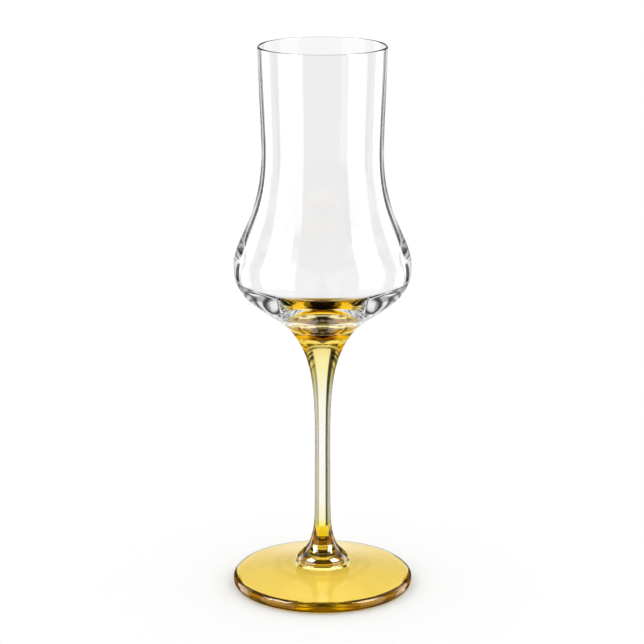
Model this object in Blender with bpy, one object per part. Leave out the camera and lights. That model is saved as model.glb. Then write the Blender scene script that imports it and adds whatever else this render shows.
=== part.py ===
"""Stemmed whisky glass: a clear tulip bowl, an amber stem with a wide flare and an amber foot.

The glass is a stuck-stem glass. Bowl, stem and foot are three gathers of glass that are formed one
by one and fused while hot, so each is its own solid here and bulges into a dished seat in the next.
Units are metres, +Z is up, and the origin is the centre of the ring that the foot stands on.
"""

import math

import bpy

MM = 0.001

# Foot: a disc with a shallow cone on it, and a bell on the cone. Heights stack from the table up.
FOOT_RADIUS = 34.75 * MM
FOOT_EDGE_THICKNESS = 4.6 * MM
FOOT_CONE_RISE = 4.0 * MM
FOOT_FILLET_WIDTH = 1.45 * MM
FOOT_FILLET_HEIGHT = 1.2 * MM
BELL_LIP_RADIUS = 9.95 * MM
BELL_LIP_HEIGHT = 3.3 * MM
BELL_SHOULDER_INSET = 2.05 * MM
BELL_SHOULDER_SLOPE = 1.15
BELL_NECK_HEIGHT = 3.9 * MM
FOOT_RING_WIDTH = 1.6 * MM
FOOT_HOLLOW_DEPTH = 3.6 * MM

# Stem
STEM_LENGTH = 86.5 * MM
STEM_END_RADIUS = 4.93 * MM
STEM_END_SLOPE = 0.31
STEM_WAIST_RADIUS = 2.98 * MM
STEM_WAIST_HEIGHT = 25.6 * MM
STEM_TOP_RADIUS = 13.98 * MM
STEM_TOP_SLOPE = 1.02

# Bowl, outside: each height is measured from the station below it
BELLY_RADIUS = 33.75 * MM
BELLY_HEIGHT = 24.0 * MM
WAIST_RADIUS = 22.85 * MM
WAIST_HEIGHT = 43.0 * MM
RIM_RADIUS = 24.15 * MM
RIM_HEIGHT = 39.2 * MM
RIM_SLOPE = 0.032

# Bowl, inside: the cavity is widest a little below the belly, and the base is thinnest on the axis
RIM_WALL = 1.0 * MM
WAIST_WALL = 1.5 * MM
BELLY_WALL = 2.93 * MM
CAVITY_BELLY_DROP = 3.9 * MM
BASE_THICKNESS = 0.85 * MM

# Fused seats: how far each upper piece bulges into the one below, and the gap between the solids
BOWL_SEAT_DEPTH = 0.95 * MM
STEM_SEAT_DEPTH = 1.2 * MM
JOINT_GAP = 0.3 * MM

# Rounds of the foot's edge, as shares of its thickness
EDGE_TOP_ROUND_SHARE = 0.435
EDGE_BASE_ROUND_SHARE = 0.39

# Fullness of the curves: how far a tangent reaches, as a share of the height or run of its own stretch
RIM_REACH = 0.51
LIP_WAIST_REACH = 0.19
SHOULDER_WAIST_REACH = 0.578
SHOULDER_BELLY_REACH = 0.229
UNDER_BELLY_REACH = 0.577
UNDER_JOINT_REACH = 0.340
FLARE_JOINT_REACH = 0.197
FLARE_WAIST_REACH = 0.502
ANKLE_WAIST_REACH = 0.78
ANKLE_END_REACH = 0.218
BELL_NECK_REACH = 0.35
BELL_ABOVE_SHOULDER_REACH = 0.32
BELL_BELOW_SHOULDER_REACH = 0.35
BELL_LIP_REACH = 0.40
FILLET_REACH = 0.62
HOLLOW_EDGE_REACH = 0.60
HOLLOW_EDGE_RISE = 0.75
HOLLOW_MIDDLE_REACH = 0.28
CAVITY_WAIST_REACH = 0.60
CAVITY_SHOULDER_REACH = 0.42
CAVITY_SIDE_REACH = 0.28
CAVITY_FLOOR_REACH = 0.07

# Facets
BOWL_SIDES = 48
STEM_SIDES = 32
FOOT_SIDES = 48
BEND_STEPS = 12
GENTLE_STEPS = 5
ROUND_STEPS = 4
SEAT_STEPS = 3
MERGE_DISTANCE = 0.01 * MM

# Heights of the foot's stations and of the two joints above the ground
CONE_TOP_Z = FOOT_EDGE_THICKNESS + FOOT_CONE_RISE
BELL_LIP_Z = CONE_TOP_Z + FOOT_FILLET_HEIGHT
BELL_SHOULDER_Z = BELL_LIP_Z + BELL_LIP_HEIGHT
FOOT_JOINT_Z = BELL_SHOULDER_Z + BELL_NECK_HEIGHT
BOWL_JOINT_Z = FOOT_JOINT_Z + STEM_LENGTH


def bezier(start, start_reach, end_reach, end, steps):
    """Points (r, z) of a cubic curve, ends included. Each reach is the tangent vector at its end."""
    places = (
        start,
        (start[0] + start_reach[0], start[1] + start_reach[1]),
        (end[0] + end_reach[0], end[1] + end_reach[1]),
        end,
    )
    points = []
    for step in range(steps + 1):
        t = step / steps
        weights = ((1 - t) ** 3, 3 * t * (1 - t) ** 2, 3 * t * t * (1 - t), t ** 3)
        r = sum(weight * place[0] for weight, place in zip(weights, places))
        z = sum(weight * place[1] for weight, place in zip(weights, places))
        points.append((r, z))
    return points


def arc(centre, radius, start_angle, end_angle, steps):
    """Points (r, z) of an arc, ends included, with angles in degrees from +r towards +z."""
    points = []
    for step in range(steps + 1):
        angle = math.radians(start_angle + (end_angle - start_angle) * step / steps)
        points.append((centre[0] + radius * math.cos(angle), centre[1] + radius * math.sin(angle)))
    return points


def seat(edge_radius, edge_z, depth):
    """Points (r, z) of a shallow dome that sags by depth, from its edge to the axis."""
    sphere_radius = (edge_radius ** 2 + depth ** 2) / (2 * depth)
    half_angle = math.degrees(math.asin(edge_radius / sphere_radius))
    centre = (0.0, edge_z - depth + sphere_radius)
    return arc(centre, sphere_radius, half_angle - 90.0, -90.0, SEAT_STEPS)


def glass(name, colour):
    """Polished glass of one colour."""
    material = bpy.data.materials.new(name)
    material.use_nodes = True
    shader = material.node_tree.nodes["Principled BSDF"]
    shader.inputs["Base Color"].default_value = colour
    shader.inputs["Roughness"].default_value = 0.02
    shader.inputs["Metallic"].default_value = 0.0
    shader.inputs["IOR"].default_value = 1.52
    shader.inputs["Transmission Weight"].default_value = 1.0
    material.diffuse_color = colour
    return material


def turned(name, outline, sides, height, material):
    """One solid turned about Z from an outline that starts and ends on the axis, set at its height."""
    kept = [(0.0, outline[0][1])]
    for point in outline[1:-1]:
        if math.dist(point, kept[-1]) > MERGE_DISTANCE:
            kept.append(point)
    kept.append((0.0, outline[-1][1]))
    mesh = bpy.data.meshes.new(name)
    edges = [(i, i + 1) for i in range(len(kept) - 1)]
    mesh.from_pydata([(r, 0.0, z) for r, z in kept], edges, [])
    mesh.materials.append(material)
    piece = bpy.data.objects.new(name, mesh)
    bpy.context.scene.collection.objects.link(piece)
    piece.location.z = height
    screw = piece.modifiers.new("turn", "SCREW")
    screw.axis = "Z"
    screw.steps = sides
    screw.render_steps = sides
    screw.use_merge_vertices = True
    screw.merge_threshold = MERGE_DISTANCE
    screw.use_smooth_shade = True
    return piece


def bowl_outside():
    """The tulip from the rim down to the stem: a flared lip, a waist, a low belly and a drawn-in base."""
    joint = (STEM_TOP_RADIUS, 0.0)
    belly = (BELLY_RADIUS, BELLY_HEIGHT)
    waist = (WAIST_RADIUS, belly[1] + WAIST_HEIGHT)
    rim = (RIM_RADIUS, waist[1] + RIM_HEIGHT)
    rim_reach = RIM_REACH * RIM_HEIGHT
    joint_reach = UNDER_JOINT_REACH * BELLY_HEIGHT
    lip = bezier(
        rim,
        (-RIM_SLOPE * rim_reach, -rim_reach),
        (0.0, LIP_WAIST_REACH * RIM_HEIGHT),
        waist,
        GENTLE_STEPS,
    )
    shoulder = bezier(
        waist,
        (0.0, -SHOULDER_WAIST_REACH * WAIST_HEIGHT),
        (0.0, SHOULDER_BELLY_REACH * WAIST_HEIGHT),
        belly,
        BEND_STEPS,
    )
    under = bezier(
        belly,
        (0.0, -UNDER_BELLY_REACH * BELLY_HEIGHT),
        (STEM_TOP_SLOPE * joint_reach, joint_reach),
        joint,
        BEND_STEPS,
    )
    return lip + shoulder[1:] + under[1:]


def bowl_inside():
    """The cavity from its floor up to the rim. Its wall is thin above and thickens below the belly."""
    floor = (0.0, BASE_THICKNESS - BOWL_SEAT_DEPTH)
    belly = (BELLY_RADIUS - BELLY_WALL, BELLY_HEIGHT - CAVITY_BELLY_DROP)
    waist = (WAIST_RADIUS - WAIST_WALL, BELLY_HEIGHT + WAIST_HEIGHT)
    rim = (RIM_RADIUS - RIM_WALL, waist[1] + RIM_HEIGHT)
    side_height = belly[1] - floor[1]
    shoulder_height = waist[1] - belly[1]
    rim_reach = RIM_REACH * RIM_HEIGHT
    bottom = bezier(
        floor,
        (CAVITY_FLOOR_REACH * belly[0], 0.0),
        (0.0, -CAVITY_SIDE_REACH * side_height),
        belly,
        BEND_STEPS,
    )
    shoulder = bezier(
        belly,
        (0.0, CAVITY_SHOULDER_REACH * shoulder_height),
        (0.0, -CAVITY_WAIST_REACH * shoulder_height),
        waist,
        BEND_STEPS,
    )
    lip = bezier(
        waist,
        (0.0, LIP_WAIST_REACH * RIM_HEIGHT),
        (-RIM_SLOPE * rim_reach, -rim_reach),
        rim,
        GENTLE_STEPS,
    )
    return bottom + shoulder[1:] + lip[1:]


def make_bowl():
    """Clear bowl. Its lip is fire-polished to a half round, and its base bulges into the stem's cup."""
    inside = bowl_inside()
    outside = bowl_outside()
    lip_centre = (RIM_RADIUS - RIM_WALL / 2, outside[0][1])
    lip_round = arc(lip_centre, RIM_WALL / 2, 180.0, 0.0, ROUND_STEPS)
    bulge = seat(STEM_TOP_RADIUS, 0.0, BOWL_SEAT_DEPTH)
    outline = inside + lip_round[1:-1] + outside + bulge[1:]
    clear = glass("clear_bowl_glass", (0.96, 0.97, 0.97, 1.0))
    return turned("bowl", outline, BOWL_SIDES, BOWL_JOINT_Z, clear)


def make_stem():
    """Amber stem. Its flared top cups the bowl's base, and its lower end bulges into the foot."""
    top = (STEM_TOP_RADIUS - STEM_TOP_SLOPE * JOINT_GAP, STEM_LENGTH - JOINT_GAP)
    waist = (STEM_WAIST_RADIUS, STEM_WAIST_HEIGHT)
    end = (STEM_END_RADIUS, 0.0)
    flare_height = top[1] - waist[1]
    top_reach = FLARE_JOINT_REACH * flare_height
    end_reach = ANKLE_END_REACH * STEM_WAIST_HEIGHT
    cup = seat(top[0], top[1], BOWL_SEAT_DEPTH)[::-1]
    flare = bezier(
        top,
        (-STEM_TOP_SLOPE * top_reach, -top_reach),
        (0.0, FLARE_WAIST_REACH * flare_height),
        waist,
        BEND_STEPS,
    )
    ankle = bezier(
        waist,
        (0.0, -ANKLE_WAIST_REACH * STEM_WAIST_HEIGHT),
        (-STEM_END_SLOPE * end_reach, end_reach),
        end,
        BEND_STEPS,
    )
    bulge = seat(end[0], end[1], STEM_SEAT_DEPTH)
    outline = cup + flare[1:] + ankle[1:] + bulge[1:]
    pale_amber = glass("pale_amber_stem_glass", (0.93, 0.84, 0.45, 1.0))
    return turned("stem", outline, STEM_SIDES, FOOT_JOINT_Z, pale_amber)


def foot_bell(dish_edge, cone_edge, cone_slope):
    """The bell under the stem: a neck that flares to a shoulder, a rounded lip and a fillet onto the cone."""
    shoulder = (BELL_LIP_RADIUS - BELL_SHOULDER_INSET, BELL_SHOULDER_Z)
    lip = (BELL_LIP_RADIUS, BELL_LIP_Z)
    neck_reach = BELL_NECK_REACH * BELL_NECK_HEIGHT
    above_reach = BELL_ABOVE_SHOULDER_REACH * BELL_NECK_HEIGHT
    below_reach = BELL_BELOW_SHOULDER_REACH * BELL_LIP_HEIGHT
    fillet_reach = FILLET_REACH * FOOT_FILLET_WIDTH
    neck = bezier(
        dish_edge,
        (STEM_END_SLOPE * neck_reach, -neck_reach),
        (-BELL_SHOULDER_SLOPE * above_reach, above_reach),
        shoulder,
        GENTLE_STEPS,
    )
    bulge = bezier(
        shoulder,
        (BELL_SHOULDER_SLOPE * below_reach, -below_reach),
        (0.0, BELL_LIP_REACH * BELL_LIP_HEIGHT),
        lip,
        GENTLE_STEPS,
    )
    fillet = bezier(
        lip,
        (0.0, -FILLET_REACH * FOOT_FILLET_HEIGHT),
        (-fillet_reach, cone_slope * fillet_reach),
        cone_edge,
        ROUND_STEPS,
    )
    return neck + bulge[1:] + fillet[1:]


def make_foot():
    """Amber foot: a bell under the stem, a shallow cone, a rounded edge and a hollow underside."""
    top_round = EDGE_TOP_ROUND_SHARE * FOOT_EDGE_THICKNESS
    base_round = EDGE_BASE_ROUND_SHARE * FOOT_EDGE_THICKNESS
    top_centre = (FOOT_RADIUS - top_round, FOOT_EDGE_THICKNESS - top_round)
    base_centre = (FOOT_RADIUS - base_round, base_round)
    cone_edge = (BELL_LIP_RADIUS + FOOT_FILLET_WIDTH, CONE_TOP_Z)
    cone_slope = FOOT_CONE_RISE / (top_centre[0] - cone_edge[0])
    cone_normal_angle = 90.0 - math.degrees(math.atan(cone_slope))
    dish_edge = (STEM_END_RADIUS + STEM_END_SLOPE * JOINT_GAP, FOOT_JOINT_Z - JOINT_GAP)
    dish = seat(dish_edge[0], dish_edge[1], STEM_SEAT_DEPTH)[::-1]
    bell = foot_bell(dish_edge, cone_edge, cone_slope)
    edge_top = arc(top_centre, top_round, cone_normal_angle, 0.0, ROUND_STEPS)
    edge_base = arc(base_centre, base_round, 0.0, -90.0, ROUND_STEPS)
    ring_inside = base_centre[0] - FOOT_RING_WIDTH
    hollow = bezier(
        (ring_inside, 0.0),
        (-HOLLOW_EDGE_REACH * ring_inside, HOLLOW_EDGE_RISE * FOOT_HOLLOW_DEPTH),
        (HOLLOW_MIDDLE_REACH * ring_inside, 0.0),
        (0.0, FOOT_HOLLOW_DEPTH),
        GENTLE_STEPS,
    )
    outline = dish + bell[1:] + edge_top + edge_base + hollow
    amber = glass("amber_foot_glass", (0.87, 0.60, 0.10, 1.0))
    return turned("foot", outline, FOOT_SIDES, 0.0, amber)


for old in list(bpy.data.objects):
    bpy.data.objects.remove(old)

whole = bpy.data.objects.new("whisky_glass", None)
bpy.context.scene.collection.objects.link(whole)
for piece in (make_foot(), make_stem(), make_bowl()):
    piece.parent = whole
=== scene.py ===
import math

import bmesh
import bpy
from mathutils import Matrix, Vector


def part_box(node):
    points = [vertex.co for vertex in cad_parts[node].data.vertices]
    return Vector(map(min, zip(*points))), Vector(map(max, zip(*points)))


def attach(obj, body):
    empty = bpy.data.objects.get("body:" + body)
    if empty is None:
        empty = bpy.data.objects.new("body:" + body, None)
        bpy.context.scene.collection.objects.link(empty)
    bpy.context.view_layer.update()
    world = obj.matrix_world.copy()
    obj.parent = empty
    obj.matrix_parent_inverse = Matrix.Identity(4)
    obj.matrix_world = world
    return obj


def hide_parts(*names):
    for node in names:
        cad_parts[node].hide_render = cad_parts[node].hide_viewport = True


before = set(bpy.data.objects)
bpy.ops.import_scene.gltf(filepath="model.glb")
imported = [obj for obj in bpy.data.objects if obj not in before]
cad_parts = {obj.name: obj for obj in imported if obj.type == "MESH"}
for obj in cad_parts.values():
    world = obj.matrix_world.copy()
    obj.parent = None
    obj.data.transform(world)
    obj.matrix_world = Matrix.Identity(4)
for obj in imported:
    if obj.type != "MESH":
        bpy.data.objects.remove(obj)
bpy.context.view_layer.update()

# Foot. A gather of amber glass, pressed flat while hot, that rises in a bell to take the stem.
# Its edge is fire-polished round, and the underside is slightly hollow, so it stands on a ring.
MM = 0.001
FOOT_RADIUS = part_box("foot")[1].x
FOOT_EDGE_THICKNESS = 4.6 * MM
FOOT_EDGE_TOP_ROUND = 2.0 * MM
FOOT_EDGE_BASE_ROUND = 1.8 * MM
FOOT_CONE_RISE = 4.0 * MM
FOOT_BELL_RADIUS = 11.4 * MM
BELL_LIP_RADIUS = 9.95 * MM
BELL_LIP_HEIGHT = 1.2 * MM
BELL_SHOULDER_RADIUS = 7.9 * MM
BELL_SHOULDER_HEIGHT = 4.5 * MM
BELL_SHOULDER_SLOPE = 1.15
FOOT_BELL_HEIGHT = 8.4 * MM
BELL_NECK_REACH = 0.35
BELL_ABOVE_REACH = 0.32
BELL_BELOW_REACH = 0.35
BELL_LIP_REACH = 0.40
BELL_FILLET_REACH = 0.62
FOOT_RING_WIDTH = 1.6 * MM
FOOT_HOLLOW_DEPTH = 3.6 * MM
HOLLOW_EDGE_REACH = 0.6
HOLLOW_EDGE_RISE = 0.75
HOLLOW_MIDDLE_REACH = 0.28
FOOT_SIDES = 128
STEM_END_RADIUS = 4.93 * MM
STEM_END_SLOPE = 0.31
STEM_SEAT_DEPTH = 1.2 * MM
WELD_GAP = 0.02 * MM
HOLD = 0.12 * MM
SAME_POINT = 1e-7
SHARP_ANGLE = 40.0
FOOT_JOINT_Z = FOOT_EDGE_THICKNESS + FOOT_CONE_RISE + FOOT_BELL_HEIGHT


def flowing(start, start_pull, end_pull, end, steps):
    """Points (r, z) of a cubic curve, ends included. Each pull is the tangent vector at its end."""
    near_start = (start[0] + start_pull[0], start[1] + start_pull[1])
    near_end = (end[0] + end_pull[0], end[1] + end_pull[1])
    points = []
    for step in range(steps + 1):
        t = step / steps
        weights = ((1 - t) ** 3, 3 * t * (1 - t) ** 2, 3 * t * t * (1 - t), t ** 3)
        places = (start, near_start, near_end, end)
        r = sum(weight * place[0] for weight, place in zip(weights, places))
        z = sum(weight * place[1] for weight, place in zip(weights, places))
        points.append((r, z))
    return points


def rounded(centre, radius, start_angle, end_angle, steps):
    """Points (r, z) of an arc, ends included, with angles in degrees from +r towards +z."""
    points = []
    for step in range(steps + 1):
        angle = math.radians(start_angle + (end_angle - start_angle) * step / steps)
        points.append((centre[0] + radius * math.cos(angle), centre[1] + radius * math.sin(angle)))
    return points


def domed(edge_radius, edge_z, rise, steps=12):
    """Points (r, z) of a dome, from its edge to the axis. It sags below its edge if rise is negative."""
    sphere_radius = (edge_radius ** 2 + rise ** 2) / (2 * abs(rise))
    half_angle = math.asin(edge_radius / sphere_radius)
    points = []
    for step in range(steps + 1):
        angle = half_angle * (1 - step / steps)
        height = sphere_radius * (math.cos(angle) - math.cos(half_angle))
        points.append((sphere_radius * math.sin(angle), edge_z + math.copysign(height, rise)))
    return points


def held(points):
    """The points with one more close to each end, so that the shading there keeps to this stretch."""
    def close_to(end, next_one):
        share = HOLD / math.dist(end, next_one)
        return (end[0] + share * (next_one[0] - end[0]), end[1] + share * (next_one[1] - end[1]))
    after_start = close_to(points[0], points[1])
    before_end = close_to(points[-1], points[-2])
    return [points[0], after_start] + points[1:-1] + [before_end, points[-1]]


def turned(name, stretches, sides):
    """A closed body turned about Z. Each stretch is (points, welded), and welded faces are marked."""
    body = bmesh.new()
    welded_layer = body.faces.layers.float.new("welded")
    turn = [2 * math.pi * i / sides for i in range(sides)]
    last_ring = None
    last_point = None
    for points, welded in stretches:
        for r, z in points:
            if last_point is not None and math.dist((r, z), last_point) < SAME_POINT:
                continue
            if r < SAME_POINT:
                ring = [body.verts.new((0.0, 0.0, z))]
            else:
                ring = [body.verts.new((r * math.cos(a), r * math.sin(a), z)) for a in turn]
            if last_ring is not None:
                for i in range(sides):
                    j = (i + 1) % sides
                    corners = [last_ring[i % len(last_ring)], last_ring[j % len(last_ring)]]
                    corners += [ring[j % len(ring)], ring[i % len(ring)]]
                    face = body.faces.new(list(dict.fromkeys(corners)))
                    face.smooth = True
                    face[welded_layer] = welded
            last_ring = ring
            last_point = (r, z)
    bmesh.ops.recalc_face_normals(body, faces=body.faces)
    mesh = bpy.data.meshes.new(name)
    body.to_mesh(mesh)
    body.free()
    mesh.set_sharp_from_angle(angle=math.radians(SHARP_ANGLE))
    piece = bpy.data.objects.new(name, mesh)
    bpy.context.scene.collection.objects.link(piece)
    return piece


def foot_stretches():
    """The foot's outline: the dish that the stem is welded into, then all the rest."""
    top_centre = (FOOT_RADIUS - FOOT_EDGE_TOP_ROUND, FOOT_EDGE_THICKNESS - FOOT_EDGE_TOP_ROUND)
    base_centre = (FOOT_RADIUS - FOOT_EDGE_BASE_ROUND, FOOT_EDGE_BASE_ROUND)
    cone_slope = FOOT_CONE_RISE / (top_centre[0] - FOOT_BELL_RADIUS)
    dish_edge = (STEM_END_RADIUS + STEM_END_SLOPE * WELD_GAP, FOOT_JOINT_Z - WELD_GAP)
    bell_base = (FOOT_BELL_RADIUS, FOOT_EDGE_THICKNESS + FOOT_CONE_RISE)
    dish = domed(dish_edge[0], dish_edge[1], -STEM_SEAT_DEPTH)[::-1]
    lip = (BELL_LIP_RADIUS, bell_base[1] + BELL_LIP_HEIGHT)
    shoulder = (BELL_SHOULDER_RADIUS, bell_base[1] + BELL_SHOULDER_HEIGHT)
    neck_pull = BELL_NECK_REACH * (dish_edge[1] - shoulder[1])
    above_pull = BELL_ABOVE_REACH * (dish_edge[1] - shoulder[1])
    below_pull = BELL_BELOW_REACH * (shoulder[1] - lip[1])
    lip_pull = BELL_LIP_REACH * (shoulder[1] - lip[1])
    fillet_pull = BELL_FILLET_REACH * (bell_base[0] - lip[0])
    bell = flowing(
        dish_edge,
        (STEM_END_SLOPE * neck_pull, -neck_pull),
        (-BELL_SHOULDER_SLOPE * above_pull, above_pull),
        shoulder,
        steps=20,
    )
    bell += flowing(
        shoulder,
        (BELL_SHOULDER_SLOPE * below_pull, -below_pull),
        (0.0, lip_pull),
        lip,
        steps=16,
    )[1:]
    bell += flowing(
        lip,
        (0.0, -BELL_FILLET_REACH * BELL_LIP_HEIGHT),
        (-fillet_pull, cone_slope * fillet_pull),
        bell_base,
        steps=10,
    )[1:]
    cone_tilt = math.degrees(math.atan(cone_slope))
    top_round = rounded(top_centre, FOOT_EDGE_TOP_ROUND, 90.0 - cone_tilt, 0.0, steps=16)
    cone = held(flowing(bell_base, (0.0, 0.0), (0.0, 0.0), top_round[0], steps=20))
    base_round = rounded(base_centre, FOOT_EDGE_BASE_ROUND, 0.0, -90.0, steps=16)
    ring_inside = base_centre[0] - FOOT_RING_WIDTH
    ring = held([base_round[-1], (ring_inside, 0.0)])
    hollow = flowing(
        (ring_inside, 0.0),
        (-HOLLOW_EDGE_REACH * ring_inside, HOLLOW_EDGE_RISE * FOOT_HOLLOW_DEPTH),
        (HOLLOW_MIDDLE_REACH * ring_inside, 0.0),
        (0.0, FOOT_HOLLOW_DEPTH),
        steps=24,
    )
    outside = bell + cone[1:] + top_round[1:] + base_round + ring[1:] + held(hollow)[1:]
    return [(dish, 1.0), (outside, 0.0)]


# How far a point of a turned piece is from the axis, and how high
turned_place = bpy.data.node_groups.new("turned_place", "ShaderNodeTree")
turned_place.interface.new_socket("Radius", in_out="OUTPUT", socket_type="NodeSocketFloat")
turned_place.interface.new_socket("Height", in_out="OUTPUT", socket_type="NodeSocketFloat")
place_out = turned_place.nodes.new("NodeGroupOutput")
place_coords = turned_place.nodes.new("ShaderNodeTexCoord")
place_axes = turned_place.nodes.new("ShaderNodeSeparateXYZ")
turned_place.links.new(place_coords.outputs["Object"], place_axes.inputs[0])
place_flat = turned_place.nodes.new("ShaderNodeVectorMath")
place_flat.operation = "MULTIPLY"
place_flat.inputs[1].default_value = (1.0, 1.0, 0.0)
turned_place.links.new(place_coords.outputs["Object"], place_flat.inputs[0])
place_radius = turned_place.nodes.new("ShaderNodeVectorMath")
place_radius.operation = "LENGTH"
turned_place.links.new(place_flat.outputs[0], place_radius.inputs[0])
turned_place.links.new(place_radius.outputs["Value"], place_out.inputs["Radius"])
turned_place.links.new(place_axes.outputs["Z"], place_out.inputs["Height"])

# Faint upright streaks in the colour, left when the hot glass is drawn out
STREAKS_PER_METRE = (120.0, 120.0, 30.0)
STREAK_TINT = (0.985, 0.975, 0.965)
hot_worked = bpy.data.node_groups.new("hot_worked", "ShaderNodeTree")
hot_worked.interface.new_socket("Streak", in_out="OUTPUT", socket_type="NodeSocketFloat")
worked_out = hot_worked.nodes.new("NodeGroupOutput")
worked_coords = hot_worked.nodes.new("ShaderNodeTexCoord")
drawn_out = hot_worked.nodes.new("ShaderNodeMapping")
drawn_out.inputs["Scale"].default_value = STREAKS_PER_METRE
hot_worked.links.new(worked_coords.outputs["Object"], drawn_out.inputs["Vector"])
streak_noise = hot_worked.nodes.new("ShaderNodeTexNoise")
streak_noise.inputs["Scale"].default_value = 1.0
streak_noise.inputs["Detail"].default_value = 2.0
hot_worked.links.new(drawn_out.outputs["Vector"], streak_noise.inputs["Vector"])
hot_worked.links.new(streak_noise.outputs["Fac"], worked_out.inputs["Streak"])


def ramp(tree, value, stops):
    """A colour for each stop's value, blended evenly between the stops."""
    low = stops[0][0]
    high = stops[-1][0]
    scale = tree.nodes.new("ShaderNodeMapRange")
    scale.inputs["From Min"].default_value = low
    scale.inputs["From Max"].default_value = high
    tree.links.new(value, scale.inputs["Value"])
    node = tree.nodes.new("ShaderNodeValToRGB")
    tree.links.new(scale.outputs["Result"], node.inputs["Fac"])
    elements = node.color_ramp.elements
    for place, (at, colour) in enumerate(stops):
        position = (at - low) / (high - low)
        element = elements[place] if place < 2 else elements.new(position)
        element.position = position
        element.color = (*colour, 1.0)
    return node.outputs["Color"]


def blended(tree, factor, first, second, how="MIX"):
    """The first colour where the factor is 0 and the second where it is 1, or their product there."""
    node = tree.nodes.new("ShaderNodeMix")
    node.data_type = "RGBA"
    node.blend_type = how
    for socket, value in ((node.inputs[0], factor), (node.inputs[6], first), (node.inputs[7], second)):
        if isinstance(value, (int, float)):
            socket.default_value = value
        elif isinstance(value, tuple):
            socket.default_value = (*value, 1.0)
        else:
            tree.links.new(value, socket)
    return node.outputs[2]


def stepped(tree, value, low, high, low_out=0.0, high_out=1.0):
    """A smooth step of the value, from the low output to the high one."""
    node = tree.nodes.new("ShaderNodeMapRange")
    node.interpolation_type = "SMOOTHSTEP"
    tree.links.new(value, node.inputs["Value"])
    node.inputs["From Min"].default_value = low
    node.inputs["From Max"].default_value = high
    node.inputs["To Min"].default_value = low_out
    node.inputs["To Max"].default_value = high_out
    return node.outputs["Result"]


def reckoned(tree, operation, first, second=0.0, third=0.0):
    """One sum on sockets or plain numbers."""
    node = tree.nodes.new("ShaderNodeMath")
    node.operation = operation
    for socket, value in zip(node.inputs, (first, second, third)):
        if isinstance(value, (int, float)):
            socket.default_value = value
        else:
            tree.links.new(value, socket)
    return node.outputs[0]


def placed(tree):
    """The turned_place group, set in a material."""
    node = tree.nodes.new("ShaderNodeGroup")
    node.node_tree = turned_place
    return node


GLASS_IOR = 1.52
WELD_IOR = 1.0


def glass_material(name):
    """Smooth clear glass that bends no light where it is welded to the next piece."""
    material = bpy.data.materials.new(name)
    material.use_nodes = True
    tree = material.node_tree
    shader = tree.nodes["Principled BSDF"]
    shader.inputs["Roughness"].default_value = 0.0
    shader.inputs["Metallic"].default_value = 0.0
    shader.inputs["Transmission Weight"].default_value = 1.0
    welded = tree.nodes.new("ShaderNodeAttribute")
    welded.attribute_name = "welded"
    welded.name = "welded"
    bend = stepped(tree, welded.outputs["Fac"], 0.0, 1.0, GLASS_IOR, WELD_IOR)
    tree.links.new(bend, shader.inputs["IOR"])
    marks = tree.nodes.new("ShaderNodeGroup")
    marks.node_tree = hot_worked
    marks.name = "marks"
    return material


def coloured(material, surface, weld):
    """Gives the glass one colour, slightly streaked, on its surface and another on its welded faces."""
    tree = material.node_tree
    streaked = blended(tree, tree.nodes["marks"].outputs["Streak"], surface, STREAK_TINT, "MULTIPLY")
    colour = blended(tree, tree.nodes["welded"].outputs["Fac"], streaked, weld)
    tree.links.new(colour, tree.nodes["Principled BSDF"].inputs["Base Color"])


def absorbing(material, colour, density):
    """Gives the glass a colour that deepens with the light's way through it."""
    tree = material.node_tree
    absorb = tree.nodes.new("ShaderNodeVolumeAbsorption")
    absorb.inputs["Color"].default_value = (*colour, 1.0)
    absorb.inputs["Density"].default_value = density
    tree.links.new(absorb.outputs["Volume"], tree.nodes["Material Output"].inputs["Volume"])


FOOT_WELD = (0.96, 0.94, 0.16)
FOOT_UNDERSIDE = (1.0, 0.56, 0.026)
FOOT_DEPTH_COLOUR = (0.985, 0.86, 0.05)
FOOT_DEPTH_DENSITY = 50.0
FOOT_SHEEN = (0.3, 0.22, 0.06, 1.0)
FOOT_COAT_IOR = 1.5
# Painted shade: a near-black wedge on each side of the bell, where it is seen at a slant
BELL_PAINTED_SHADE = (0.06, 0.035, 0.0)
BELL_PAINTED_SHADE_STARTS = (0.18, 0.34)
BELL_PAINTED_SHADE_ENDS = (0.6, 0.8)
BELL_PAINTED_SHADE_HEIGHT = (11.3 * MM, 11.9 * MM)
BELL_PAINTED_RINGS_HEIGHT = (9.0 * MM, 9.2 * MM)
PAINTED_EDGE_LINES_RADIUS = (33.25 * MM, 33.4 * MM)
UNDERSIDE_HEIGHT = (3.8 * MM, 4.2 * MM)
UNDERSIDE_RADIUS = (32.5 * MM, 33.5 * MM)
EVEN_FACING = 0.5
foot_glass = glass_material("amber_foot_glass")
foot_tree = foot_glass.node_tree
foot_place = placed(foot_tree)
# Painted shade and highlight on the foot's plate: over its own pale gold, two darker rings round the bell at
# about 13.5 and 17.5 mm, and a near-white line just inside the edge.
plate_tint_painted_rings = ramp(
    foot_tree,
    foot_place.outputs["Radius"],
    [
        (6.0 * MM, (1.0, 0.985, 0.90)),
        (10.5 * MM, (1.0, 0.97, 0.82)),
        (12.0 * MM, (0.95, 0.90, 0.70)),
        (13.5 * MM, (0.84, 0.77, 0.56)),
        (15.5 * MM, (0.98, 0.93, 0.73)),
        (17.5 * MM, (0.88, 0.81, 0.60)),
        (20.5 * MM, (1.0, 0.95, 0.75)),
        (32.4 * MM, (1.0, 0.95, 0.75)),
        (32.8 * MM, (1.0, 0.99, 0.93)),
        (33.2 * MM, (1.0, 0.99, 0.93)),
    ],
)
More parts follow.
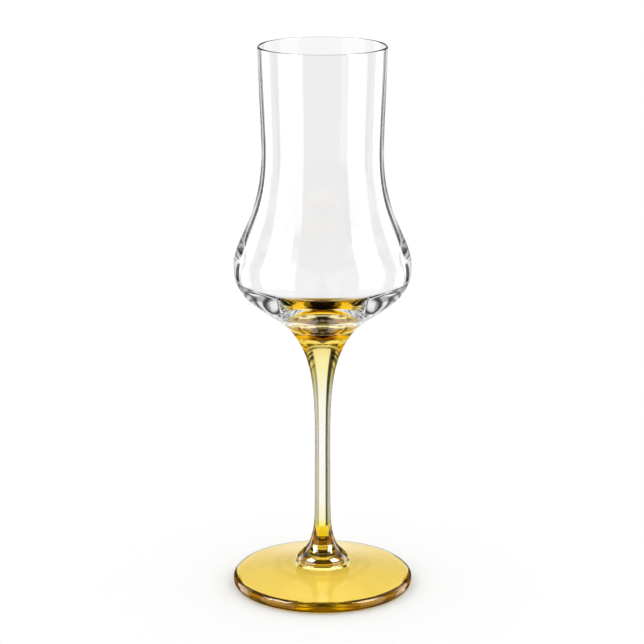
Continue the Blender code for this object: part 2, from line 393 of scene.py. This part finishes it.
# Painted shade and highlight on the foot's rounded edge, by height over its gold: a paler band at the bottom
# for the table's reflection, a black line above it, a darker band in the middle, a black line just below the
# top, and a near-white line along the top.
edge_painted_lines = ramp(
    foot_tree,
    foot_place.outputs["Height"],
    [
        (0.0 * MM, (1.0, 0.80, 0.30)),
        (0.6 * MM, (1.0, 0.80, 0.20)),
        (0.9 * MM, (0.02, 0.01, 0.0)),
        (1.4 * MM, (0.02, 0.01, 0.0)),
        (1.7 * MM, (0.90, 0.68, 0.02)),
        (2.3 * MM, (0.95, 0.74, 0.02)),
        (2.6 * MM, (0.45, 0.28, 0.01)),
        (2.9 * MM, (0.90, 0.68, 0.02)),
        (3.4 * MM, (0.90, 0.66, 0.02)),
        (4.0 * MM, (0.12, 0.06, 0.0)),
        (4.2 * MM, (0.08, 0.04, 0.0)),
        (4.32 * MM, (0.90, 0.75, 0.25)),
        (4.42 * MM, (1.0, 0.99, 0.93)),
    ],
)
# Painted shade and highlights on the bell: dark rings and near-white bands by height, over its gold.
bell_painted_rings = ramp(
    foot_tree,
    foot_place.outputs["Height"],
    [
        (9.2 * MM, (1.0, 0.95, 0.70)),
        (9.7 * MM, (1.0, 0.92, 0.50)),
        (9.85 * MM, (0.4, 0.24, 0.02)),
        (10.1 * MM, (0.4, 0.24, 0.02)),
        (10.3 * MM, (1.0, 0.84, 0.20)),
        (10.9 * MM, (1.0, 0.84, 0.20)),
        (11.05 * MM, (0.08, 0.045, 0.0)),
        (11.5 * MM, (0.08, 0.045, 0.0)),
        (11.6 * MM, (1.0, 0.99, 0.92)),
        (13.3 * MM, (1.0, 0.99, 0.92)),
        (13.5 * MM, (0.10, 0.06, 0.0)),
        (13.9 * MM, (0.10, 0.06, 0.0)),
        (14.1 * MM, (1.0, 0.94, 0.55)),
        (14.6 * MM, (1.0, 0.94, 0.55)),
        (14.8 * MM, (0.10, 0.06, 0.0)),
        (15.1 * MM, (0.10, 0.06, 0.0)),
        (15.3 * MM, (1.0, 1.0, 0.98)),
        (16.6 * MM, (1.0, 1.0, 0.98)),
        (16.8 * MM, (0.5, 0.32, 0.01)),
    ],
)
# Painted shade on the bell's sides, by how slanted the surface is to the view, over the painted rings
foot_facing = foot_tree.nodes.new("ShaderNodeLayerWeight")
foot_facing.inputs["Blend"].default_value = EVEN_FACING
bell_shade_facing = reckoned(
    foot_tree,
    "MULTIPLY",
    stepped(foot_tree, foot_facing.outputs["Facing"], *BELL_PAINTED_SHADE_STARTS),
    stepped(foot_tree, foot_facing.outputs["Facing"], *BELL_PAINTED_SHADE_ENDS, 1.0, 0.0),
)
bell_shade_height = stepped(foot_tree, foot_place.outputs["Height"], *BELL_PAINTED_SHADE_HEIGHT)
bell_painted_shade_mask = reckoned(foot_tree, "MULTIPLY", bell_shade_facing, bell_shade_height)
bell_painted_light = blended(foot_tree, bell_painted_shade_mask, bell_painted_rings, BELL_PAINTED_SHADE)
# Where the painted lines of the edge take over from the plate
at_painted_edge_lines = stepped(foot_tree, foot_place.outputs["Radius"], *PAINTED_EDGE_LINES_RADIUS)
# Where the bell's painted rings take over
at_bell_painted_rings = stepped(foot_tree, foot_place.outputs["Height"], *BELL_PAINTED_RINGS_HEIGHT)
foot_plate = blended(foot_tree, at_painted_edge_lines, plate_tint_painted_rings, edge_painted_lines)
foot_upper = blended(foot_tree, at_bell_painted_rings, foot_plate, bell_painted_light)
foot_low = stepped(foot_tree, foot_place.outputs["Height"], *UNDERSIDE_HEIGHT, 1.0, 0.0)
foot_inner = stepped(foot_tree, foot_place.outputs["Radius"], *UNDERSIDE_RADIUS, 1.0, 0.0)
foot_under = reckoned(foot_tree, "MULTIPLY", foot_low, foot_inner)
coloured(foot_glass, blended(foot_tree, foot_under, foot_upper, FOOT_UNDERSIDE), FOOT_WELD)
absorbing(foot_glass, FOOT_DEPTH_COLOUR, FOOT_DEPTH_DENSITY)
foot_shader = foot_tree.nodes["Principled BSDF"]
foot_shader.inputs["Specular Tint"].default_value = FOOT_SHEEN
foot_gloss = ramp(
    foot_tree,
    foot_place.outputs["Height"],
    [
        (1.5 * MM, (0.1, 0.1, 0.1)),
        (3.2 * MM, (0.2, 0.2, 0.2)),
        (3.5 * MM, (0.35, 0.35, 0.35)),
        (3.9 * MM, (0.35, 0.35, 0.35)),
        (4.1 * MM, (0.1, 0.1, 0.1)),
        (8.0 * MM, (0.3, 0.3, 0.3)),
        (10.0 * MM, (0.9, 0.9, 0.9)),
    ],
)
foot_tree.links.new(foot_gloss, foot_shader.inputs["Coat Weight"])
foot_shader.inputs["Coat Roughness"].default_value = 0.0
foot_shader.inputs["Coat IOR"].default_value = FOOT_COAT_IOR

foot = turned("amber_foot", foot_stretches(), FOOT_SIDES)
foot.data.materials.append(foot_glass)
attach(foot, "root")
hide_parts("foot")

# Stem. Drawn out of a gather of pale amber glass, thinnest a third of the way up.
# Its flared top cups the base of the bowl, and its lower end is fused into the foot's bell.
STEM_LENGTH = 86.5 * MM
STEM_WAIST_RADIUS = 2.98 * MM
STEM_WAIST_HEIGHT = 25.6 * MM
STEM_TOP_RADIUS = 13.98 * MM
STEM_TOP_SLOPE = 1.02
BOWL_SEAT_DEPTH = 0.95 * MM
FLARE_TOP_REACH = 0.1968
FLARE_WAIST_REACH = 0.5021
ANKLE_WAIST_REACH = 0.78
ANKLE_END_REACH = 0.218
STEM_SIDES = 96
BOWL_JOINT_Z = FOOT_JOINT_Z + STEM_LENGTH


def stem_stretches():
    """The stem's outline: the seat for the bowl, the drawn side, and the end welded into the foot."""
    top = (STEM_TOP_RADIUS - STEM_TOP_SLOPE * WELD_GAP, BOWL_JOINT_Z - WELD_GAP)
    waist = (STEM_WAIST_RADIUS, FOOT_JOINT_Z + STEM_WAIST_HEIGHT)
    end = (STEM_END_RADIUS, FOOT_JOINT_Z)
    flare_height = top[1] - waist[1]
    top_pull = FLARE_TOP_REACH * flare_height
    end_pull = ANKLE_END_REACH * STEM_WAIST_HEIGHT
    crown = domed(top[0], top[1], -BOWL_SEAT_DEPTH)[::-1]
    flare = flowing(
        top,
        (-STEM_TOP_SLOPE * top_pull, -top_pull),
        (0.0, FLARE_WAIST_REACH * flare_height),
        waist,
        steps=64,
    )
    ankle = flowing(
        waist,
        (0.0, -ANKLE_WAIST_REACH * STEM_WAIST_HEIGHT),
        (-STEM_END_SLOPE * end_pull, end_pull),
        end,
        steps=40,
    )
    bulge = domed(end[0], end[1], -STEM_SEAT_DEPTH)
    return [(crown, 1.0), (flare + ankle[1:], 0.0), (bulge, 1.0)]


# The colour of the welded faces by radius: an amber film at the joints, with painted shade where it darkens
# to near black towards the axis, for the dark centres seen down the stem.
WELD_AMBER_AND_PAINTED_SHADE = [
    (2.5 * MM, (0.22, 0.08, 0.0)),
    (4.0 * MM, (0.5, 0.22, 0.0)),
    (5.5 * MM, (1.0, 0.60, 0.02)),
    (8.5 * MM, (1.0, 0.68, 0.05)),
    (10.5 * MM, (1.0, 0.80, 0.20)),
    (12.5 * MM, (1.0, 0.97, 0.85)),
]
# Painted reflection: the gold the stem shows towards its slanted edges
STEM_EDGE_PAINTED_GOLD = (0.9, 0.80, 0.42)
STEM_PAINTED_GOLD_STARTS = (0.16, 0.46)
STEM_SHEEN = (0.4, 0.34, 0.2, 1.0)
STEM_DEPTH_COLOUR = (0.97, 0.84, 0.15)
STEM_DEPTH_DENSITY = 9.0
stem_glass = glass_material("pale_amber_glass")
stem_tree = stem_glass.node_tree
stem_along = ramp(
    stem_tree,
    placed(stem_tree).outputs["Height"],
    [
        (17.0 * MM, (0.97, 0.92, 0.06)),
        (23.5 * MM, (0.98, 0.90, 0.10)),
        (25.5 * MM, (1.0, 0.94, 0.60)),
        (34.0 * MM, (1.0, 0.99, 0.88)),
        (60.0 * MM, (1.0, 1.0, 0.97)),
        (76.0 * MM, (1.0, 0.98, 0.82)),
        (88.0 * MM, (1.0, 0.92, 0.46)),
        (97.0 * MM, (1.0, 0.87, 0.40)),
        (103.5 * MM, (1.0, 0.74, 0.14)),
    ],
)
stem_facing = stem_tree.nodes.new("ShaderNodeLayerWeight")
stem_facing.inputs["Blend"].default_value = EVEN_FACING
# Painted reflection: gold and amber towards the stem's grazing edges, for the gold foot's light carried and
# reflected in the stem; its middle keeps the pale colour by height.
stem_painted_gold_mask = stepped(stem_tree, stem_facing.outputs["Facing"], *STEM_PAINTED_GOLD_STARTS)
stem_painted_gold = ramp(
    stem_tree,
    placed(stem_tree).outputs["Height"],
    [
        (17.0 * MM, (0.95, 0.88, 0.02)),
        (26.0 * MM, (0.95, 0.85, 0.06)),
        (34.0 * MM, STEM_EDGE_PAINTED_GOLD),
        (74.0 * MM, STEM_EDGE_PAINTED_GOLD),
        (86.0 * MM, (0.92, 0.68, 0.09)),
        (96.0 * MM, (0.92, 0.62, 0.04)),
    ],
)
stem_weld_amber_and_shade = ramp(stem_tree, placed(stem_tree).outputs["Radius"], WELD_AMBER_AND_PAINTED_SHADE)
coloured(stem_glass, blended(stem_tree, stem_painted_gold_mask, stem_along, stem_painted_gold), stem_weld_amber_and_shade)
stem_tree.nodes["Principled BSDF"].inputs["Specular Tint"].default_value = STEM_SHEEN
absorbing(stem_glass, STEM_DEPTH_COLOUR, STEM_DEPTH_DENSITY)

stem = turned("amber_stem", stem_stretches(), STEM_SIDES)
stem.data.materials.append(stem_glass)
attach(stem, "root")
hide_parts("stem")

# Bowl. Clear glass, blown to a tulip with a fire-polished lip, a waist and a low belly.
# The wall is a millimetre thick at the lip and thickens downwards, and the cavity tapers to a
# rounded point. The base is fused to the stem's flare, where the gold begins.
BELLY_RADIUS = 33.75 * MM
BELLY_HEIGHT = 24.0 * MM
WAIST_RADIUS = 22.85 * MM
WAIST_HEIGHT = 43.0 * MM
RIM_RADIUS = 24.15 * MM
RIM_HEIGHT = 39.2 * MM
RIM_SLOPE = 0.032
RIM_WALL = 1.0 * MM
WAIST_WALL = 1.5 * MM
BELLY_WALL = 2.93 * MM
CAVITY_BELLY_DROP = 3.9 * MM
BASE_THICKNESS = 0.85 * MM
RIM_REACH = 0.51
WAIST_LIP_REACH = 0.19
WAIST_SHOULDER_REACH = 0.578
BELLY_SHOULDER_REACH = 0.229
BELLY_UNDER_REACH = 0.5773
JOINT_UNDER_REACH = 0.3404
CAVITY_FLOOR_REACH = 0.07
CAVITY_SIDE_REACH = 0.28
CAVITY_SHOULDER_REACH = 0.42
CAVITY_WAIST_REACH = 0.60
BOWL_SURFACE = (0.99, 0.993, 0.997)
BOWL_SIDES = 160


def bowl_stretches():
    """The bowl's outline: the cavity, the lip and the outside, then the seat welded to the stem."""
    joint = (STEM_TOP_RADIUS, BOWL_JOINT_Z)
    belly = (BELLY_RADIUS, joint[1] + BELLY_HEIGHT)
    waist = (WAIST_RADIUS, belly[1] + WAIST_HEIGHT)
    rim = (RIM_RADIUS, waist[1] + RIM_HEIGHT)
    rim_pull = RIM_REACH * RIM_HEIGHT
    joint_pull = JOINT_UNDER_REACH * BELLY_HEIGHT
    lip = flowing(
        rim,
        (-RIM_SLOPE * rim_pull, -rim_pull),
        (0.0, WAIST_LIP_REACH * RIM_HEIGHT),
        waist,
        steps=20,
    )
    shoulder = flowing(
        waist,
        (0.0, -WAIST_SHOULDER_REACH * WAIST_HEIGHT),
        (0.0, BELLY_SHOULDER_REACH * WAIST_HEIGHT),
        belly,
        steps=40,
    )
    under = flowing(
        belly,
        (0.0, -BELLY_UNDER_REACH * BELLY_HEIGHT),
        (STEM_TOP_SLOPE * joint_pull, joint_pull),
        joint,
        steps=48,
    )
    socket = domed(joint[0], joint[1], -BOWL_SEAT_DEPTH)
    floor_point = (0.0, joint[1] - BOWL_SEAT_DEPTH + BASE_THICKNESS)
    inner_belly = (BELLY_RADIUS - BELLY_WALL, belly[1] - CAVITY_BELLY_DROP)
    inner_waist = (WAIST_RADIUS - WAIST_WALL, waist[1])
    inner_rim = (RIM_RADIUS - RIM_WALL, rim[1])
    side_height = inner_belly[1] - floor_point[1]
    shoulder_height = inner_waist[1] - inner_belly[1]
    bottom = flowing(
        floor_point,
        (CAVITY_FLOOR_REACH * inner_belly[0], 0.0),
        (0.0, -CAVITY_SIDE_REACH * side_height),
        inner_belly,
        steps=48,
    )
    inner_shoulder = flowing(
        inner_belly,
        (0.0, CAVITY_SHOULDER_REACH * shoulder_height),
        (0.0, -CAVITY_WAIST_REACH * shoulder_height),
        inner_waist,
        steps=40,
    )
    inner_lip = flowing(
        inner_waist,
        (0.0, WAIST_LIP_REACH * RIM_HEIGHT),
        (-RIM_SLOPE * rim_pull, -rim_pull),
        inner_rim,
        steps=20,
    )
    lip_centre = (RIM_RADIUS - RIM_WALL / 2, rim[1])
    lip_round = rounded(lip_centre, RIM_WALL / 2, 180.0, 0.0, steps=12)
    inside = bottom + inner_shoulder[1:] + held(inner_lip)[1:]
    outside = held(lip) + shoulder[1:] + under[1:]
    return [(inside + lip_round[1:-1] + outside, 0.0), (socket, 1.0)]


bowl_glass = glass_material("clear_bowl_glass")
bowl_tree = bowl_glass.node_tree
bowl_weld_amber_and_shade = ramp(bowl_tree, placed(bowl_tree).outputs["Radius"], WELD_AMBER_AND_PAINTED_SHADE)
coloured(bowl_glass, BOWL_SURFACE, bowl_weld_amber_and_shade)
bowl = turned("clear_bowl", bowl_stretches(), BOWL_SIDES)
bowl.data.materials.append(bowl_glass)
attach(bowl, "root")
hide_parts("bowl")

# Table. A plain white top, lit evenly, that takes the soft shadow round the foot.
# The glass doesn't show it: looking down through the glass shows the light's own white instead.
TABLE_COLOUR = (0.985, 0.985, 0.985, 1.0)
TABLE_HALF_WIDTH = 4.0
TABLE_DROP = 0.05 * MM
table_mesh = bpy.data.meshes.new("table")
table_corners = [
    (-TABLE_HALF_WIDTH, -TABLE_HALF_WIDTH, -TABLE_DROP),
    (TABLE_HALF_WIDTH, -TABLE_HALF_WIDTH, -TABLE_DROP),
    (TABLE_HALF_WIDTH, TABLE_HALF_WIDTH, -TABLE_DROP),
    (-TABLE_HALF_WIDTH, TABLE_HALF_WIDTH, -TABLE_DROP),
]
table_mesh.from_pydata(table_corners, [], [(0, 1, 2, 3)])
table = bpy.data.objects.new("table", table_mesh)
bpy.context.scene.collection.objects.link(table)
table_material = bpy.data.materials.new("white_table")
table_material.use_nodes = True
table_shader = table_material.node_tree.nodes["Principled BSDF"]
table_shader.inputs["Base Color"].default_value = TABLE_COLOUR
table_shader.inputs["Roughness"].default_value = 1.0
table_shader.inputs["Specular IOR Level"].default_value = 0.0
table.data.materials.append(table_material)
table.visible_glossy = False
table.visible_transmission = False

# Light. An even white dome lights the table and the background. The glass meets white panels and
# dark cards instead, by direction, which draw its edges and highlights. Which set of them a ray
# meets depends on how often it was bent and turned in the glass.
world = bpy.data.worlds.new("studio")
bpy.context.scene.world = world
world.use_nodes = True
sky = world.node_tree
sky.nodes.clear()


def levels(value, stops):
    """A brightness for each stop's angle in degrees, blended evenly between the stops."""
    return ramp(sky, value, [(math.radians(angle), (level, level, level)) for angle, level in stops])


def rise(value, low, high):
    """0 below the low angle and 1 above the high one, in degrees, or the reverse if low is above high."""
    return stepped(sky, value, math.radians(low), math.radians(high))


def chosen(factor, when_low, when_high):
    """The one level where the factor is 0, and the other where it is 1."""
    step = reckoned(sky, "SUBTRACT", when_high, when_low)
    return reckoned(sky, "MULTIPLY_ADD", factor, step, when_low)


ZONE_BLEND = 1.5
SOFTBOX_LEVEL = 26.0
PANEL_LEVEL = 3.2
PANEL_WHITE_STARTS = (0.4363, 0.7854)
STREAK_LAMP_LEVEL = 2.0
FAR_ROUND_LEVEL = 0.6
OPEN_BELOW_LEVEL = 0.95
DOME_LEVEL = 1.05
# Angles in degrees over which a card or lamp begins or ends
SHELVES_BESIDE = (20.0, 24.0)
FRONT_CARD_TOP = (26.0, -6.0)
STREAK_LAMP_BOTTOM = (26.0, 32.0)
PANELS_BESIDE = (43.0, 45.0)
PANELS_BOTTOM = (-26.0, -23.0)
PANELS_TOP = (26.0, 23.0)
OPEN_BELOW_TOP = (-26.0, -29.0)
FAR_ROUND_BESIDE = (118.0, 124.0)
FAR_ROUND_BOTTOM = (-36.0, -30.0)
# The same for the streak lamp's sides, in radians
STREAK_LAMP_HALF_WIDTH = (0.4, 0.5)
coords = sky.nodes.new("ShaderNodeTexCoord")
axes = sky.nodes.new("ShaderNodeSeparateXYZ")
sky.links.new(coords.outputs["Generated"], axes.inputs[0])
azimuth = reckoned(sky, "ARCTAN2", axes.outputs["X"], axes.outputs["Y"])
elevation = reckoned(sky, "ARCSINE", axes.outputs["Z"])
around = reckoned(sky, "ABSOLUTE", azimuth)


def room(angle, zones):
    """Brightness by direction. Each zone is the elevation where it starts, and its levels by azimuth."""
    level = levels(angle, zones[0][1])
    for start, stops in zones[1:]:
        level = chosen(rise(elevation, start - ZONE_BLEND, start + ZONE_BLEND), level, levels(angle, stops))
    return level


# Seen straight through the solid stem and foot
solid_room = room(
    azimuth,
    [
        (-90, [(-180, 0.85), (180, 0.85)]),
        (
            -38,
            [
                (-180, 1.0), (-100, 1.0), (-97, 0.5), (-66, 0.36), (-47, 0.36), (-43, 0.62), (-35, 0.62),
                (-32, 0.25), (-28, 0.05), (-18, 0.05), (-15, 1.0), (19, 1.0), (22, 0.42), (31, 0.36),
                (34, 0.78), (41, 0.78), (44, 0.38), (70, 0.34), (97, 0.5), (100, 1.0), (180, 1.0),
            ],
        ),
        (
            25,
            [(-180, 0.6), (-30, 0.6), (-20, 0.12), (-8, 0.4), (8, 0.4), (20, 0.12), (30, 0.6), (180, 0.6)],
        ),
        (31, [(-180, 0.9), (180, 0.9)]),
    ],
)
# Seen straight through the walls of the bowl
bowl_room = room(
    around,
    [
        (-90, [(0, 0.25), (180, 0.25)]),
        (-58, [(0, 0.04), (180, 0.04)]),
        (-46, [(0, 0.8), (180, 0.8)]),
        (-37, [(0, 0.03), (180, 0.03)]),
        (-29, [(0, 1.0), (24, 1.0), (26, 0.02), (38, 0.02), (40, 1.0), (180, 1.0)]),
    ],
)
# Seen after one turn in the glass, which draws the bowl's edges
edge_room = room(
    around,
    [
        (-90, [(0, 0.03), (130, 0.03), (150, 0.7), (180, 0.7)]),
        (
            -60,
            [
                (0, 1.1), (18, 1.1), (24, 0.8), (36, 0.8), (42, 0.4), (50, 0.1), (66, 0.1), (74, 1.0),
                (100, 1.0), (110, 0.03), (150, 0.03), (160, 0.4), (180, 0.4),
            ],
        ),
        (-45, [(0, 0.08), (36, 0.08), (44, 1.0), (100, 1.0), (112, 0.08), (180, 0.08)]),
        (-37, [(0, 1.1), (110, 1.1), (118, 0.03), (180, 0.03)]),
        (
            -15,
            [(0, 1.05), (26, 1.05), (28, 0.01), (38, 0.01), (40, 1.1), (110, 1.1), (118, 0.03), (180, 0.03)],
        ),
        (
            2,
            [
                (0, 0.12), (27, 0.12), (28, 0.02), (38, 0.02), (40, 1.05), (110, 1.05),
                (118, 0.2), (180, 0.4),
            ],
        ),
        (6, [(0, 1.05), (110, 1.05), (118, 0.2), (180, 0.4)]),
        (28, [(0, 0.1), (12, 0.1), (16, 1.15), (86, 1.15), (92, 0.4), (180, 0.4)]),
        (46, [(0, 0.06), (14, 0.06), (18, 1.1), (66, 1.1), (74, 0.1), (104, 0.1), (180, 0.3)]),
    ],
)
# Seen after a few turns, which fills the bowl's base
inner_room = room(
    around,
    [
        (-90, [(0, 0.01), (180, 0.01)]),
        (-50, [(0, 0.02), (14, 0.02), (20, 0.25), (44, 0.25), (50, 0.03), (180, 0.02)]),
        (-36, [(0, 0.05), (12, 0.05), (18, 1.05), (58, 1.1), (64, 0.1), (180, 0.02)]),
        (-23, [(0, 1.1), (58, 1.1), (64, 0.3), (106, 0.3), (116, 0.03), (180, 0.03)]),
        (
            -18,
            [(0, 0.3), (10, 0.3), (16, 1.05), (58, 1.1), (64, 0.3), (106, 0.3), (116, 0.03), (180, 0.03)],
        ),
        (
            -12,
            [
                (0, 1.1), (26, 1.1), (29, 0.4), (36, 0.4), (40, 1.15), (62, 1.15), (64, 0.3), (74, 0.3),
                (76, 1.15), (110, 1.1), (116, 0.03), (144, 0.03), (150, 0.5), (180, 0.3),
            ],
        ),
        (
            13,
            [
                (0, 0.05), (12, 0.05), (20, 1.1), (60, 1.1), (84, 1.15), (88, 0.25),
                (102, 0.25), (106, 1.1), (125, 1.1), (129, 0.3), (140, 0.3), (144, 1.0), (180, 0.9),
            ],
        ),
        (
            28,
            [(0, 0.13), (12, 0.13), (16, 1.15), (86, 1.15), (92, 0.4), (104, 0.4), (108, 0.9), (180, 1.1)],
        ),
        (46, [(0, 0.06), (14, 0.06), (18, 1.1), (66, 1.1), (74, 0.1), (104, 0.1), (110, 0.9), (180, 1.1)]),
    ],
)
# Seen after many turns, by light that runs round the wall
circling_room = levels(
    elevation,
    [
        (-90, 0.03), (-14, 0.03), (-11, 1.0), (-7, 1.1), (-2, 0.25), (1.5, 0.12), (4.5, 1.0), (9, 1.1),
        (11, 0.06), (13.5, 0.06), (15.5, 0.9), (18, 1.1), (24, 0.3), (30, 0.9), (40, 0.2), (50, 0.9),
        (60, 0.1),
    ],
)
# Level bars at the sides, seen through the stem and foot
shelves = levels(
    elevation,
    [
        (-4, 1.0), (2, 1.0), (3.5, 0.3), (5, 1.25), (8, 1.25), (10, 0.15), (13, 0.15), (14.5, 1.2),
        (15.5, 1.2), (17, 0.12), (19, 0.12), (20.5, 1.2), (24, 1.2), (26, 0.2), (32, 1.0),
    ],
)
shelved_room = reckoned(sky, "MULTIPLY", solid_room, chosen(rise(around, *SHELVES_BESIDE), 1.0, shelves))
# Tall panels at the sides, mirrored in the wall of the bowl
panels = levels(
    azimuth,
    [
        (-180, 0.28), (-144.5, 0.28), (-144, 1.0), (-94, 1.0), (-93.5, 0.3), (-71.5, 0.3), (-71, 1.05),
        (-47, 1.05), (-46, 0.05), (46, 0.05), (47, 1.05), (71, 1.05),
        (71.5, 0.3), (93.5, 0.3), (94, 1.0), (132, 1.0), (132.5, 0.28), (180, 0.28),
    ],
)
front = levels(around, [(0, 1.0), (12, 1.0), (16, 0.4), (20, 0.0), (180, 0.0)])
near_table = rise(elevation, *FRONT_CARD_TOP)
box_sides = levels(around, [(0, 0.0), (94, 0.0), (96, 1.0), (130, 1.0), (132, 0.0), (180, 0.0)])
box_ends = levels(elevation, [(-90, 0.0), (24, 0.0), (27, 1.0), (54, 1.0), (57, 0.0), (90, 0.0)])
softbox = reckoned(sky, "MULTIPLY", reckoned(sky, "MULTIPLY", box_sides, box_ends), SOFTBOX_LEVEL)
panel_reach = levels(elevation, [(-90, 0.05), (-26, 0.05), (-22, 1.0), (26, 1.0), (30, 0.25), (90, 0.25)])
panel_lamp = stepped(sky, panels, *PANEL_WHITE_STARTS, 1.0, PANEL_LEVEL)
lit_panels = reckoned(sky, "MULTIPLY", panels, panel_lamp)
upright_panels = reckoned(sky, "MULTIPLY", lit_panels, panel_reach)
front_and_panels = reckoned(sky, "MULTIPLY_ADD", front, near_table, upright_panels)
mirror_room = reckoned(sky, "ADD", softbox, front_and_panels)
lamp_across = stepped(sky, around, *STREAK_LAMP_HALF_WIDTH, 1.0, 0.0)
lamp = reckoned(sky, "MULTIPLY", rise(elevation, *STREAK_LAMP_BOTTOM), lamp_across)
beside = rise(around, *PANELS_BESIDE)
upright = reckoned(sky, "MULTIPLY", rise(elevation, *PANELS_BOTTOM), rise(elevation, *PANELS_TOP))
once_room = chosen(reckoned(sky, "MULTIPLY", beside, upright), edge_room, panels)

light_path = sky.nodes.new("ShaderNodeLightPath")
mirrored = reckoned(sky, "GREATER_THAN", light_path.outputs["Glossy Depth"], 0.5)
refracted = reckoned(sky, "GREATER_THAN", light_path.outputs["Transmission Depth"], 0.5)
in_glass = reckoned(
    sky, "MAXIMUM", light_path.outputs["Is Glossy Ray"], light_path.outputs["Is Transmission Ray"]
)
one_mirror = reckoned(sky, "COMPARE", light_path.outputs["Glossy Depth"], 1.0, 0.1)
two_bends = reckoned(sky, "COMPARE", light_path.outputs["Transmission Depth"], 2.0, 0.1)
strip = reckoned(sky, "MULTIPLY", lamp, reckoned(sky, "MULTIPLY", one_mirror, two_bends))
several_turns = reckoned(sky, "GREATER_THAN", light_path.outputs["Glossy Depth"], 1.5)
many_turns = reckoned(sky, "GREATER_THAN", light_path.outputs["Glossy Depth"], 6.5)
four_bends = reckoned(sky, "GREATER_THAN", light_path.outputs["Transmission Depth"], 3.5)
six_bends = reckoned(sky, "GREATER_THAN", light_path.outputs["Transmission Depth"], 5.5)
well_below = rise(elevation, *OPEN_BELOW_TOP)
open_below = reckoned(sky, "MULTIPLY", well_below, reckoned(sky, "SUBTRACT", 1.0, six_bends))
walled_room = chosen(open_below, bowl_room, OPEN_BELOW_LEVEL)
straight_room = chosen(four_bends, shelved_room, walled_room)
far_round = reckoned(
    sky, "MULTIPLY", rise(around, *FAR_ROUND_BESIDE), rise(elevation, *FAR_ROUND_BOTTOM)
)
slats = levels(
    around,
    [
        (0, 0.6), (44, 0.9), (48, 1.0), (60, 1.0), (62, 0.45), (66, 0.45), (68, 1.0), (73, 1.0), (75, 0.35),
        (80, 0.35), (82, 1.0), (94, 1.0), (98, 0.3), (104, 0.3), (108, 1.0),
    ],
)
slatted_room = reckoned(sky, "MULTIPLY", circling_room, slats)
round_room = chosen(far_round, slatted_room, FAR_ROUND_LEVEL)
lit_once_room = chosen(strip, once_room, STREAK_LAMP_LEVEL)
turned_room = chosen(several_turns, lit_once_room, chosen(many_turns, inner_room, round_room))
glass_room = chosen(mirrored, straight_room, chosen(refracted, mirror_room, turned_room))
glow = chosen(in_glass, DOME_LEVEL, glass_room)
background = sky.nodes.new("ShaderNodeBackground")
sky.links.new(glow, background.inputs["Color"])
world_output = sky.nodes.new("ShaderNodeOutputWorld")
sky.links.new(background.outputs[0], world_output.inputs["Surface"])

# Camera. A long lens, 83 cm in front of the glass and 12 cm above its rim, that looks down at it.
# Its place, tilt and focal length come from the shapes of the rim and the foot.
CAMERA_PLACE = (0.0, -0.83292, 0.32973)
CAMERA_PITCH = 0.26358
IMAGE_SIZE = 644
FOCAL_LENGTH_PIXELS = 2272.8
SHIFT_PIXELS = -0.6
SENSOR_WIDTH = 36.0
NEAREST_SEEN = 0.01
LIGHT_BOUNCES = 32
camera_data = bpy.data.cameras.new("camera")
camera_data.sensor_width = SENSOR_WIDTH
camera_data.lens = FOCAL_LENGTH_PIXELS / IMAGE_SIZE * SENSOR_WIDTH
camera_data.shift_x = SHIFT_PIXELS / IMAGE_SIZE
camera_data.clip_start = NEAREST_SEEN
camera = bpy.data.objects.new("camera", camera_data)
camera.location = CAMERA_PLACE
camera.rotation_euler = (math.pi / 2 - CAMERA_PITCH, 0.0, 0.0)
bpy.context.scene.collection.objects.link(camera)
bpy.context.scene.camera = camera

scene = bpy.context.scene
scene.view_settings.view_transform = "Standard"
scene.cycles.max_bounces = LIGHT_BOUNCES
scene.cycles.transmission_bounces = LIGHT_BOUNCES
scene.cycles.glossy_bounces = LIGHT_BOUNCES
